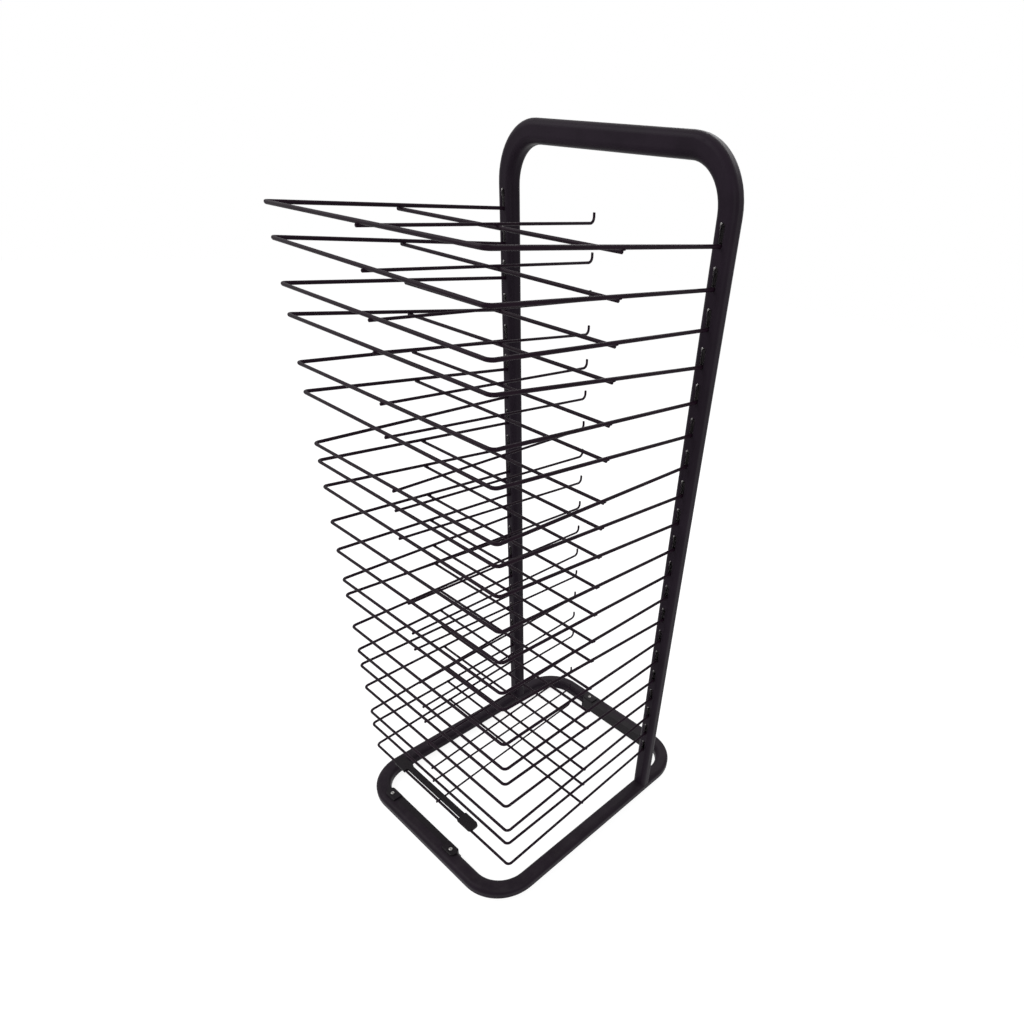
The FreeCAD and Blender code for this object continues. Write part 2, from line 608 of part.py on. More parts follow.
def group(label, pattern, places):
    """Several copies of one piece, kept together as separate solids of one node."""
    copies = []
    for at, (x, y, z, turn) in enumerate(places, start=1):
        one = copy_of(pattern, "%s_%d" % (label, at))
        one.Placement = FreeCAD.Placement(V(0, 0, 0), FreeCAD.Rotation(V(0, 0, 1), turn))
        bind(one, Placement__Base__x=x, Placement__Base__y=y, Placement__Base__z=z)
        copies.append(one)
    node = doc.addObject("Part::Compound", label)
    node.Label = label
    node.Links = copies
    return node


# ---------------------------------------------------------------- assembly

def assemble():
    """Build every node and return the objects to be written out."""
    nodes = [make_hoop(), make_ring()]
    pattern = make_shelf_pattern()
    nodes += [hang_shelf(pattern, k) for k in range(SHELVES)]
    nodes.append(make_grip())

    # Plug, bolt and washer at the foot of each upright.
    sides = ("-rack_span / 2", "rack_span / 2")
    nodes.append(group("hoop_plugs", make_plug(),
                       [(x, "hoop_y", "ring_top + seat_gap", 0) for x in sides]))
    nodes.append(group("hoop_bolts", make_bolt(), [(x, "hoop_y", "head_z", 0) for x in sides]))
    nodes.append(group("hoop_washers", make_washer(), [(x, "hoop_y", "head_z", 0) for x in sides]))

    # A foot bar on the front tube, and one on the rear tube turned half round.
    nodes.append(group("floor_glides", make_glide(), [("-glide_shift", "-ring_half", "0", 0),
                                                      ("glide_shift", "ring_half", "0", 180)]))
    nodes.append(group("glide_screws", make_screw(),
                       [(x, y, "ring_top + glide_high", 0) for x, y in SCREWS]))
    return nodes


def check(nodes):
    """Stop if any object failed or any node is not a sound solid."""
    for thing in doc.Objects:
        if {"Invalid", "Error"} & set(thing.State):
            raise RuntimeError("%s failed: %s" % (thing.Label, thing.State))
    for node in nodes:
        shape = node.Shape
        if shape.isNull() or not shape.isValid() or not shape.Solids:
            raise RuntimeError("%s has no sound solid" % node.Label)


def write(nodes):
    """Write one file for each node."""
    os.makedirs("parts", exist_ok=True)
    for node in nodes:
        node.Shape.exportStep("parts/%s.step" % node.Label)
        box = node.Shape.BoundBox
        print("%-14s %d solid %9.0f mm3  x %7.1f %7.1f  y %7.1f %7.1f  z %7.1f %7.1f" % (
            node.Label, len(node.Shape.Solids), node.Shape.Volume,
            box.XMin, box.XMax, box.YMin, box.YMax, box.ZMin, box.ZMax))


made = assemble()
doc.recompute()
check(made)
write(made)
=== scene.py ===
"""An art drying rack, dressed for a picture.

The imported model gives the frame: a bent tube hoop on a flat tube ring, and twenty
wire shelves that tip up.  This script adds what a plain solid lacks, such as drawn
wire with sheared ends, weld beads, the rolled lips of the punched slots and the
crossed recess of the screws, and gives every piece its finish.

Axes: X to the right, Y to the rear, Z up, metres.
"""
from __future__ import annotations

import json
import logging
import math
from dataclasses import dataclass, field
from enum import Enum
from typing import Sequence

import bmesh
import bpy
from mathutils import Matrix, Vector

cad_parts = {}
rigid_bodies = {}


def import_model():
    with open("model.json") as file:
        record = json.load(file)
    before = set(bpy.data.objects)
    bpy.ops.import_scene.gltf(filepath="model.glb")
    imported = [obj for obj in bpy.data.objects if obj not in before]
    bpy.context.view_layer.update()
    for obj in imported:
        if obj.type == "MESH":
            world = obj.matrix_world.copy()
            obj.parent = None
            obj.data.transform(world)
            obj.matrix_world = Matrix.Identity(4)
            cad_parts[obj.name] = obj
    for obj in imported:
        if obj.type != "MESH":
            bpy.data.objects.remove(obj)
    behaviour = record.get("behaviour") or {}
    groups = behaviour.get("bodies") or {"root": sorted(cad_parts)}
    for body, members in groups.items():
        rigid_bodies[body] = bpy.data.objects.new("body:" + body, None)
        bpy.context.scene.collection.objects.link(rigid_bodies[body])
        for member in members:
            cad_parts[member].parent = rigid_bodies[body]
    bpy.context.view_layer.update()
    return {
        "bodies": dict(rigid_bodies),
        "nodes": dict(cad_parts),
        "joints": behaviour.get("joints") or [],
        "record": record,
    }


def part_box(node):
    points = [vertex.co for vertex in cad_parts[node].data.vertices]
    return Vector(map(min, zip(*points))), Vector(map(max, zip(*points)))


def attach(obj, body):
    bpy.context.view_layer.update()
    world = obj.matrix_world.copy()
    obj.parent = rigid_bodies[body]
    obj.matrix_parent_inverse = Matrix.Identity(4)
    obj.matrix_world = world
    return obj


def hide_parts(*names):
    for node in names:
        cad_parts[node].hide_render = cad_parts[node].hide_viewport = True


log = logging.getLogger("drying_rack")

Triple = tuple[float, float, float]
Pair = tuple[float, float]

IMAGE_SIDE = 1024
MM_PER_METRE = 1000
RACK = "rack"
WHITE = (1.0, 1.0, 1.0, 1.0)


class Slot(Enum):
    """The material slots of the record, and the bright metal of the painted glints at the slot
    tops.
    """

    TUBE = "tube_coat"
    WIRE = "wire_coat"
    MOULDING = "moulding"
    ZINC = "zinc_steel"
    BRIGHT = "bright_steel"
    PAINTED_GLINT = "painted_glint_steel"


# ------------------------------------------------------------------ shader helpers


class Board:
    """A node tree that is filled from left to right."""

    column: int = 200

    def __init__(self, tree: bpy.types.NodeTree) -> None:
        """Take a node tree and empty it.

        Args:
            tree: The tree of a material, a world or a node group.
        """
        self.tree = tree
        self.tree.nodes.clear()

    def add(self, kind: str, values: dict[str | int, object] | None = None,
            **settings: object) -> bpy.types.Node:
        """Add a node.

        Args:
            kind: The node's type without its ShaderNode prefix.
            values: Input names and what they are set to, or the socket that feeds them.
            settings: Properties of the node itself.

        Returns:
            The new node.
        """
        node = self.tree.nodes.new(kind if kind.startswith("Node") else "ShaderNode" + kind)
        node.location.x = self.column * len(self.tree.nodes)
        for name, value in settings.items():
            setattr(node, name, value)
        for name, value in (values or {}).items():
            self.feed(node.inputs[name], value)
        return node

    def feed(self, socket: bpy.types.NodeSocket, value: object) -> None:
        """Fill an input.

        Args:
            socket: The input.
            value: A number, vector or colour, or the output that is linked to it.
        """
        if isinstance(value, bpy.types.NodeSocket):
            self.tree.links.new(value, socket)
        else:
            socket.default_value = value

    def group(self, effect: bpy.types.NodeTree, **values: float) -> bpy.types.Node:
        """Place a shared effect with its own values."""
        return self.add("Group", values, node_tree=effect)

    def spot(self) -> bpy.types.NodeSocket:
        """Give the place on the object, in its own metres."""
        return self.add("TexCoord").outputs["Object"]

    def maths(self, operation: str, first: object, second: object = 0.0,
              clamp: bool = False) -> bpy.types.NodeSocket:
        """Add a Math node and give its result."""
        return self.add("Math", {0: first, 1: second}, operation=operation,
                        use_clamp=clamp).outputs[0]

    def vector(self, operation: str, *inputs: object) -> bpy.types.NodeSocket:
        """Add a Vector Math node and give its vector."""
        return self.add("VectorMath", dict(enumerate(inputs)), operation=operation).outputs[0]

    def noise(self, spot: bpy.types.NodeSocket, scale: object, detail: float,
              rough: float = 0.5) -> bpy.types.NodeSocket:
        """Add a noise.

        Args:
            spot: The place that it depends on.
            scale: How many waves there are to the metre.
            detail: How many finer layers lie on the first.
            rough: How strong each layer is beside the one before.

        Returns:
            The noise, about a half in the middle.
        """
        return self.add("TexNoise", {"Vector": spot, "Scale": scale, "Detail": detail,
                                     "Roughness": rough}).outputs[0]

    def ramp(self, factor: bpy.types.NodeSocket, band: Pair, onto: Pair = (0.0, 1.0)
             ) -> bpy.types.NodeSocket:
        """Map one band of values smoothly onto another.

        Args:
            factor: The value.
            band: Where it starts and ends.
            onto: What the ends of the band become.

        Returns:
            The mapped value.
        """
        node = self.add("MapRange", {"Value": factor, "From Min": band[0], "From Max": band[1],
                                     "To Min": onto[0], "To Max": onto[1]},
                        interpolation_type="SMOOTHSTEP")
        return node.outputs["Result"]

    def mix(self, factor: bpy.types.NodeSocket, first: Triple | bpy.types.NodeSocket,
            second: Triple) -> bpy.types.NodeSocket:
        """Blend two colours.

        Args:
            factor: How much of the second shows.
            first: A colour, or the output that gives it.
            second: The other colour.

        Returns:
            The blended colour.
        """
        under = first if isinstance(first, bpy.types.NodeSocket) else (*first, 1.0)
        return self.add("Mix", {"Factor": factor, "A": under, "B": (*second, 1.0)},
                        data_type="RGBA").outputs["Result"]

    def surface(self, height: bpy.types.NodeSocket, relief: float, depth: float,
                values: dict[str, object]) -> None:
        """End a material in one shader over a fine relief.

        Args:
            height: The height of the relief.
            relief: How much of it shows.
            depth: How deep it is.
            values: The shader's inputs by name.
        """
        bump = self.add("Bump", {"Height": height, "Strength": relief, "Distance": depth})
        shader = self.add("BsdfPrincipled", {**values, "Normal": bump.outputs["Normal"]})
        self.add("OutputMaterial", {"Surface": shader.outputs[0]})


def new_group(name: str, inputs: dict[str, float], outputs: Sequence[str]
              ) -> tuple[Board, bpy.types.Node, bpy.types.Node]:
    """Start a shader node group.

    Args:
        name: The group's name.
        inputs: Number inputs and their defaults.
        outputs: The names of its number outputs.

    Returns:
        The group's board, and its input and output nodes.
    """
    tree = bpy.data.node_groups.new(name, "ShaderNodeTree")
    for label, start in inputs.items():
        socket = tree.interface.new_socket(name=label, in_out="INPUT",
                                           socket_type="NodeSocketFloat")
        socket.default_value = start
    for label in outputs:
        tree.interface.new_socket(name=label, in_out="OUTPUT", socket_type="NodeSocketFloat")
    board = Board(tree)
    return board, board.add("NodeGroupInput"), board.add("NodeGroupOutput")


def new_material(name: str) -> tuple[bpy.types.Material, Board]:
    """Make an empty material that uses nodes.

    Args:
        name: The material's name.

    Returns:
        The material and its board.
    """
    material = bpy.data.materials.new(name)
    material.use_nodes = True
    return material, Board(material.node_tree)


@dataclass
class Effects:
    """The shader groups that several finishes share."""

    grain_share: float = 0.25
    cloud_scale: float = 22.0
    cloud_band: Pair = (0.3, 0.7)
    upward: Pair = (0.35, 1.0)
    patch_scale: float = 60.0
    patch_band: Pair = (0.35, 0.75)
    patch_onto: Pair = (0.35, 1.0)
    streak_squeeze: Triple = (1.0, 1.0, 9.0)
    streak_band: Pair = (0.62, 0.74)
    area_scale: float = 11.0
    area_band: Pair = (0.5, 0.7)
    peel: bpy.types.NodeTree = field(init=False)
    dust: bpy.types.NodeTree = field(init=False)
    rub: bpy.types.NodeTree = field(init=False)

    def __post_init__(self) -> None:
        """Build each group once."""
        self.peel = self._peel()
        self.dust = self._dust()
        self.rub = self._rub()

    def _peel(self) -> bpy.types.NodeTree:
        """Make the soft dimples of baked powder coat, with a finer grain on top.

        Returns:
            A group that gives a height, and a tone that drifts like a cloud.
        """
        board, given, result = new_group(
            "coat_peel", {"Dimple": 700.0, "Grain": 4000.0}, ("Height", "Tone"))
        spot = board.spot()
        dimple = board.noise(spot, given.outputs["Dimple"], detail=1.5, rough=0.45)
        grain = board.noise(spot, given.outputs["Grain"], detail=1.0)
        cloud = board.noise(spot, self.cloud_scale, detail=3.0)
        height = board.maths("ADD", dimple, board.maths("MULTIPLY", grain, self.grain_share))
        board.feed(result.inputs["Height"], height)
        board.feed(result.inputs["Tone"], board.ramp(cloud, self.cloud_band))
        return board.tree

    def _dust(self) -> bpy.types.NodeTree:
        """Make fine dust that settles in patches on what faces up.

        Returns:
            A group that gives a mask.
        """
        board, given, result = new_group("settled_dust", {"Amount": 0.2}, ("Mask",))
        normal = board.add("NewGeometry").outputs["Normal"]
        rise = board.add("SeparateXYZ", {"Vector": normal}).outputs["Z"]
        patch = board.noise(board.spot(), self.patch_scale, detail=6.0, rough=0.7)
        mask = board.maths("MULTIPLY", board.ramp(rise, self.upward),
                           board.ramp(patch, self.patch_band, self.patch_onto))
        board.feed(result.inputs["Mask"], board.maths("MULTIPLY", mask, given.outputs["Amount"]))
        return board.tree

    def _rub(self) -> bpy.types.NodeTree:
        """Make fine scuffs, short and mostly level, where hands and boards pass.

        Returns:
            A group that gives a mask.
        """
        board, given, result = new_group("scuffs", {"Amount": 0.3, "Scale": 90.0}, ("Mask",))
        spot = board.spot()
        squeezed = board.add("Mapping", {"Vector": spot, "Scale": self.streak_squeeze})
        streak = board.noise(squeezed.outputs[0], given.outputs["Scale"], detail=4.0, rough=0.6)
        area = board.noise(spot, self.area_scale, detail=2.0)
        mask = board.maths("MULTIPLY", board.ramp(streak, self.streak_band),
                           board.ramp(area, self.area_band))
        board.feed(result.inputs["Mask"], board.maths("MULTIPLY", mask, given.outputs["Amount"]))
        return board.tree


# ------------------------------------------------------------------ finishes


@dataclass(frozen=True)
class Bore:
    """The inside of the two uprights, where the coat hardly reaches the steel.

    It is one rounded box, onto which both uprights are folded, and it ends within the
    tube's wall.  Its flat part is given from its middle outwards.
    """

    middle: Triple = (0.168, 0.118, 0.45)
    flat: Triple = (0.0045, 0.00325, 0.41)
    corner: float = 0.0062
    tone: Triple = (0.34, 0.32, 0.33)

    def mask(self, board: Board) -> bpy.types.NodeSocket:
        """Tell the inside from the outside by place.

        Args:
            board: The material's nodes.

        Returns:
            One inside the uprights and nought elsewhere.
        """
        folded = board.vector("ABSOLUTE", board.spot())
        away = board.vector("ABSOLUTE", board.vector("SUBTRACT", folded, self.middle))
        past = board.vector("SUBTRACT", away, self.flat)
        outward = board.vector("MAXIMUM", past, (0.0, 0.0, 0.0))
        reach = board.add("VectorMath", {0: outward}, operation="LENGTH").outputs["Value"]
        return board.maths("LESS_THAN", reach, self.corner)


@dataclass(frozen=True)
class PowderCoat:
    """Black powder coat baked on steel: satin, with orange peel, dust and faint scuffs."""

    name: str
    tone: Triple
    rough: float
    gloss: float
    dust: float
    scuff: float = 0.25
    dimple: float = 700.0
    bore: Bore | None = None
    lift: float = 1.35
    dust_tone: Triple = (0.16, 0.155, 0.145)
    cloud_dull: float = 0.06
    dust_dull: float = 0.8
    scuff_dull: float = 0.3
    relief: float = 0.35
    depth: float = 0.00004

    def material(self, effects: Effects) -> bpy.types.Material:
        """Build the finish.

        Args:
            effects: The shared shader groups.

        Returns:
            The new material.
        """
        made, board = new_material(self.name)
        peel = board.group(effects.peel, Dimple=self.dimple).outputs
        dust = board.group(effects.dust, Amount=self.dust).outputs["Mask"]
        rub = board.group(effects.rub, Amount=self.scuff).outputs["Mask"]
        lifted = tuple(share * self.lift for share in self.tone)
        base = board.mix(dust, board.mix(peel["Tone"], self.tone, lifted), self.dust_tone)
        if self.bore:
            base = board.mix(self.bore.mask(board), base, self.bore.tone)
        dull = board.maths("ADD", board.maths("MULTIPLY", dust, self.dust_dull),
                           board.maths("MULTIPLY", peel["Tone"], self.cloud_dull))
        rough = board.maths("ADD", board.maths("ADD", dull, self.rough),
                            board.maths("MULTIPLY", rub, self.scuff_dull), clamp=True)
        board.surface(peel["Height"], self.relief, self.depth, {
            "Base Color": base, "Roughness": rough, "Specular IOR Level": self.gloss})
        return made


@dataclass(frozen=True)
class Moulding:
    """Black injection-moulded plastic with an even spark-eroded grain."""

    name: str = "moulded_black"
    tone: Triple = (0.0068, 0.0048, 0.0070)
    rough: float = 0.48
    gloss: float = 0.12
    grain: float = 2600.0
    dust: float = 0.02
    dust_tone: Triple = (0.2, 0.195, 0.18)
    cloud_dull: float = 0.08
    relief: float = 0.3
    depth: float = 0.00003

    def material(self, effects: Effects) -> bpy.types.Material:
        """Build the finish.

        Args:
            effects: The shared shader groups.

        Returns:
            The new material.
        """
        made, board = new_material(self.name)
        peel = board.group(effects.peel, Dimple=self.grain).outputs
        dust = board.group(effects.dust, Amount=self.dust).outputs["Mask"]
        base = board.mix(dust, self.tone, self.dust_tone)
        drift = board.maths("MULTIPLY", peel["Tone"], self.cloud_dull)
        board.surface(peel["Height"], self.relief, self.depth, {
            "Base Color": base, "Roughness": board.maths("ADD", drift, self.rough),
            "Specular IOR Level": self.gloss})
        return made


@dataclass(frozen=True)
class Plating:
    """Plated steel: a metal whose dullness and tone drift a little over the surface."""

    name: str
    tone: Triple
    rough: float
    grain: float = 1500.0
    fade: float = 0.8
    cloud_dull: float = 0.12
    relief: float = 0.2
    depth: float = 0.00002

    def material(self, effects: Effects) -> bpy.types.Material:
        """Build the finish.

        Args:
            effects: The shared shader groups.

        Returns:
            The new material.
        """
        made, board = new_material(self.name)
        peel = board.group(effects.peel, Dimple=self.grain).outputs
        base = board.mix(peel["Tone"], self.tone, tuple(share * self.fade for share in self.tone))
        drift = board.maths("MULTIPLY", peel["Tone"], self.cloud_dull)
        board.surface(peel["Height"], self.relief, self.depth, {
            "Base Color": base, "Roughness": board.maths("ADD", drift, self.rough),
            "Metallic": 1.0})
        return made


class Finishes:
    """Every finish of the rack, by the record's slot."""

    def __init__(self) -> None:
        """Build the shared effects and then each material."""
        effects = Effects()
        recipes = {
            Slot.TUBE: PowderCoat("tube_powder_coat", (0.0130, 0.0088, 0.0138), 0.36,
                                  gloss=0.045, dust=0.07, bore=Bore()),
            Slot.WIRE: PowderCoat("wire_powder_coat", (0.0080, 0.0028, 0.0071), 0.42,
                                  gloss=0.065, dust=0.02, scuff=0.4, dimple=1100.0),
            Slot.MOULDING: Moulding(),
            Slot.ZINC: Plating("zinc_plate", (0.60, 0.61, 0.63), 0.38),
            Slot.BRIGHT: Plating("bright_nickel", (0.34, 0.33, 0.32), 0.26),
            # Painted highlight: bright metal for the glints at the slot tops.
            Slot.PAINTED_GLINT: Plating("painted_glint_metal", (0.42, 0.41, 0.40), 0.35),
        }
        self.made: dict[Slot, bpy.types.Material] = {
            slot: recipe.material(effects) for slot, recipe in recipes.items()}

    def dress(self, thing: bpy.types.Object, slot: Slot) -> None:
        """Give an object the finish of a slot."""
        thing.data.materials.clear()
        thing.data.materials.append(self.made[slot])

    def dress_solids(self, frame: dict, slots: dict[str, Slot]) -> None:
        """Give solids that are shown as they are their finishes.

        Args:
            frame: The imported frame.
            slots: The slot of each node.
        """
        for node, slot in slots.items():
            self.dress(frame["nodes"][node], slot)
            log.info("%s keeps its solid", node)


# ------------------------------------------------------------------ mesh helpers


def bent_path(corners: Sequence[Vector], bends: Sequence[float],
              step: float = math.radians(7)) -> list[Vector]:
    """Round the corners of a run of straight lines.

    Args:
        corners: The ends and corners of the run.
        bends: The radius of each corner.
        step: The most that the path turns from one point to the next within a bend.

    Returns:
        The points of the rounded run.
    """
    path = [corners[0]]
    for before, corner, after, radius in zip(corners, corners[1:], corners[2:], bends):
        into = (corner - before).normalized()
        out = (after - corner).normalized()
        turn = into.angle(out)
        axis = into.cross(out).normalized()
        start = corner - into * radius * math.tan(turn / 2)
        centre = start + axis.cross(into) * radius
        count = math.ceil(turn / step)
        path += [centre + Matrix.Rotation(turn * i / count, 3, axis) @ (start - centre)
                 for i in range(count + 1)]
    path.append(corners[-1])
    return path


def skin(mesh: bmesh.types.BMesh, rings: Sequence[Sequence[bmesh.types.BMVert]],
         closed: bool = False) -> None:
    """Join each ring of points to the next with faces.

    Args:
        mesh: The mesh that holds the rings.
        rings: The rings, all with as many points.
        closed: Whether the last ring is joined to the first.
    """
    pairs = list(zip(rings, rings[1:])) + ([(rings[-1], rings[0])] if closed else [])
    for lower, upper in pairs:
        for k in range(len(lower)):
            n = (k + 1) % len(lower)
            mesh.faces.new((lower[k], lower[n], upper[n], upper[k]))


def sweep(mesh: bmesh.types.BMesh, path: Sequence[Vector], radius: float, sides: int,
          chamfer: float = 0.0, closed: bool = False, thin: float = 1.0) -> None:
    """Sweep a round section along a path.

    Args:
        mesh: The mesh that the tube is added to.
        path: The points of its centre line.
        radius: The radius of the section.
        sides: The number of points round the section.
        chamfer: The broken edge at each end.
        closed: Whether the path runs back into its start.
        thin: How thin the ends are beside the middle.
    """
    count = len(path)
    ways = []
    for i, point in enumerate(path):
        before = path[i - 1] if closed or i else point
        after = path[(i + 1) % count] if closed or i + 1 < count else point
        ways.append((after - before).normalized())
    side = ways[0].orthogonal().normalized()
    stations = []
    for i, (point, way) in enumerate(zip(path, ways)):
        if i:
            side = ways[i - 1].rotation_difference(way) @ side
        swell = max(thin, math.sin(math.pi * i / (count - 1)))
        stations.append((point, way, side, radius * swell))
    if chamfer:
        first, last = stations[0], stations[-1]
        stations[0] = (first[0] + first[1] * chamfer, *first[1:])
        stations[-1] = (last[0] - last[1] * chamfer, *last[1:])
        stations.insert(0, (*first[:3], radius - chamfer))
        stations.append((*last[:3], radius - chamfer))
    rings = []
    for point, way, lead, reach in stations:
        across = way.cross(lead)
        rings.append([mesh.verts.new(point + (lead * math.cos(a) + across * math.sin(a)) * reach)
                      for a in (2 * math.pi * k / sides for k in range(sides))])
    skin(mesh, rings, closed)
    if not closed:
        mesh.faces.new(reversed(rings[0]))
        mesh.faces.new(rings[-1])


def revolve(mesh: bmesh.types.BMesh, outline: Sequence[Pair], sides: int,
            fit: Matrix = Matrix()) -> None:
    """Turn an outline about Z, always with its points and faces in the same order.

    Args:
        mesh: The mesh that the body is added to.
        outline: The radius and height of each point.  An end on the axis becomes a tip, and
            any other end is closed flat.
        sides: The number of points round the body.
        fit: How the body is stretched, and where it goes.
    """
    turns = [2 * math.pi * k / sides for k in range(sides)]
    rings = [[mesh.verts.new(fit @ Vector((radius * math.cos(a), radius * math.sin(a), height)))
              for a in turns] for radius, height in outline if radius]
    skin(mesh, rings)
    for (radius, height), ring in ((outline[0], rings[0]), (outline[-1], rings[-1])):
        if radius:
            mesh.faces.new(ring)
            continue
        tip = mesh.verts.new(fit @ Vector((0, 0, height)))
        for k, point in enumerate(ring):
            mesh.faces.new((point, ring[(k + 1) % sides], tip))


def bead(mesh: bmesh.types.BMesh, centre: Vector, radii: Vector, bands: int = 10,
         sides: int = 16) -> None:
    """Add a weld bead: a flattened ball where two wires cross.

    Args:
        mesh: The mesh that the bead is added to.
        centre: The middle of the joint.
        radii: The half sizes along X, Y and Z.
        bands: The number of bands from its top to its bottom.
        sides: The number of points round it.
    """
    turns = (math.pi * i / bands for i in range(1, bands))
    ball = [(0.0, 1.0), *((math.sin(a), math.cos(a)) for a in turns), (0.0, -1.0)]
    revolve(mesh, ball, sides, Matrix.Translation(centre) @ Matrix.Diagonal((*radii, 1.0)))


def finish_mesh(name: str, mesh: bmesh.types.BMesh, smooth: float = math.radians(40)
                ) -> bpy.types.Mesh:
    """Turn a bmesh into mesh data with smooth shading up to an angle.

    Args:
        name: The name of the mesh.
        mesh: The geometry, which is freed.
        smooth: Edges that turn more than this stay sharp.

    Returns:
        The mesh data.
    """
    bmesh.ops.recalc_face_normals(mesh, faces=mesh.faces)
    for edge in mesh.edges:
        edge.smooth = not edge.is_manifold or edge.calc_face_angle(0.0) < smooth
    for face in mesh.faces:
        face.smooth = True
    data = bpy.data.meshes.new(name)
    mesh.to_mesh(data)
    mesh.free()
    return data


def place(name: str, data: bpy.types.Mesh, at: Sequence[float] = (0.0, 0.0, 0.0),
          turn: Triple = (0.0, 0.0, 0.0)) -> bpy.types.Object:
    """Put mesh data into the scene.

    Args:
        name: The object's name.
        data: Its mesh.
        at: Where its own origin goes.
        turn: How it is turned about X, Y and Z, in radians.

    Returns:
        The new object.
    """
    thing = bpy.data.objects.new(name, data)
    thing.location = at
    thing.rotation_euler = turn
    bpy.context.scene.collection.objects.link(thing)
    return thing


# ------------------------------------------------------------------ frame of tubes


@dataclass
class TubeFrame:
    """The hoop and the ring, with the rolled lips of the slots and the ring's weld."""

    wide: float = 0.024
    deep: float = 0.0215
    corner: float = 0.0075
    span: float = 0.336
    slot_wide: float = 0.006
    slot_rise: float = 0.020
    slot_low: float = 0.0023225
    slot_round: float = 0.0027
    lip: float = 0.0003
    lip_sink: float = 0.0002
    lip_step: float = math.radians(15)
    # Painted highlight: the glints at the slot tops are bright metal laid round each slot's upper
    # left corner.
    glint_radius: float = 0.0008
    glint_down: float = 0.0050
    glint_flat: float = 0.3
    glint_thin: float = 0.15
    glint_step: float = math.radians(10)
    seam_at: float = -0.085
    seam_wide: float = 0.0042
    seam_proud: float = 0.0003
    seam_sink: float = 0.00005
    seam_crown: float = 0.7
    seam_rings: int = 3
    corner_steps: int = 8

    def build(self, finishes: Finishes, frame: dict, hinges: Sequence[Vector]) -> None:
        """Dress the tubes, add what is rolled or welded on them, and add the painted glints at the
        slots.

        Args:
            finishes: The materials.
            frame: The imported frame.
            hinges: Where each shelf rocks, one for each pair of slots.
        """
        finishes.dress_solids(frame, {"upright_hoop": Slot.TUBE, "base_ring": Slot.TUBE})
        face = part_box("upright_hoop")[0].y
        slots = [Vector((x, face, hinge.z))
                 for hinge in hinges for x in (-self.span / 2, self.span / 2)]
        added = ((self._lips(slots), Slot.TUBE, Slot.TUBE),
                 # Painted highlight: the glints at the slot tops, in bright metal.
                 (self._painted_glints(slots), Slot.PAINTED_GLINT, Slot.BRIGHT),
                 (self._seam(), Slot.TUBE, Slot.TUBE))
        for piece, finish, slot in added:
            finishes.dress(piece, finish)
            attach(piece, RACK)
            log.info("%s added", piece.name)

    def _lips(self, slots: Sequence[Vector]) -> bpy.types.Object:
        """Build the coat that has gathered round the edge of every slot.

        Args:
            slots: Where each slot is on the front face, level with its rocking line.

        Returns:
            All the lips, as one object.
        """
        mesh = bmesh.new()
        half = self.slot_wide / 2 + self.lip_sink
        top = self.slot_rise + self.lip_sink
        low = -self.slot_low - self.lip_sink
        start = Vector((half, 0, (top + low) / 2))
        run = [start, Vector((half, 0, top)), Vector((-half, 0, top)),
               Vector((-half, 0, low)), Vector((half, 0, low)), start]
        loop = bent_path(run, [self.slot_round + self.lip_sink] * 4, self.lip_step)[:-1]
        for slot in slots:
            sweep(mesh, [slot + point for point in loop], self.lip, sides=8, closed=True)
        return place("slot_lips", finish_mesh("slot_lips", mesh))

    def _painted_glints(self, slots: Sequence[Vector]) -> bpy.types.Object:
        """Build the painted glint at the upper left corner of every slot. It is a strip of bright
        metal round the corner and a short way down the left side, and it stands in for the
        highlight on the slot's edge.

        Args:
            slots: Where each slot is on the front face, level with its rocking line.

        Returns:
            All the painted glints, as one object.
        """
        mesh = bmesh.new()
        half = self.slot_wide / 2
        below = self.slot_rise - self.slot_round - self.glint_down
        run = [Vector((-half, 0, below)), Vector((-half, 0, self.slot_rise)),
               Vector((0, 0, self.slot_rise))]
        path = bent_path(run, [self.slot_round], self.glint_step)
        for slot in slots:
            sweep(mesh, [slot + point for point in path], self.glint_radius, sides=10,
                  thin=self.glint_thin)
        face = slots[0].y
        for point in mesh.verts:
            point.co.y = face + (point.co.y - face) * self.glint_flat
        return place("painted_slot_glints", finish_mesh("painted_slot_glints", mesh))

    def _seam(self) -> bpy.types.Object:
        """Build the ground weld that closes the ring, on its rear tube.

        Returns:
            A low band round the tube.
        """
        low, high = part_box("base_ring")
        centre = Vector((self.seam_at, high.y - self.wide / 2, (low.z + high.z) / 2))
        mesh = bmesh.new()
        rings = []
        for k in range(-self.seam_rings, self.seam_rings + 1):
            crown = math.cos(k * math.pi / (2 * self.seam_rings)) ** self.seam_crown
            along = Vector((k * self.seam_wide / (2 * self.seam_rings), 0, 0))
            outline = self._outline(self.corner + self.seam_proud * crown - self.seam_sink)
            rings.append([mesh.verts.new(centre + along + point) for point in outline])
        skin(mesh, rings)
        return place("ring_seam", finish_mesh("ring_seam", mesh))

    def _outline(self, reach: float) -> list[Vector]:
        """Go round the ring's section.

        Args:
            reach: The radius of its corners, about the centres of the tube's own.

        Returns:
            Points of the outline, across the run of the tube.
        """
        points = []
        for quarter, (side_y, side_z) in enumerate(((1, 1), (-1, 1), (-1, -1), (1, -1))):
            middle_y = side_y * (self.wide / 2 - self.corner)
            middle_z = side_z * (self.deep / 2 - self.corner)
            for i in range(self.corner_steps + 1):
                turn = quarter * math.pi / 2 + i * math.pi / 2 / self.corner_steps
                points.append(Vector((0, middle_y + reach * math.cos(turn),
                                      middle_z + reach * math.sin(turn))))
        return points


# ------------------------------------------------------------------ shelves


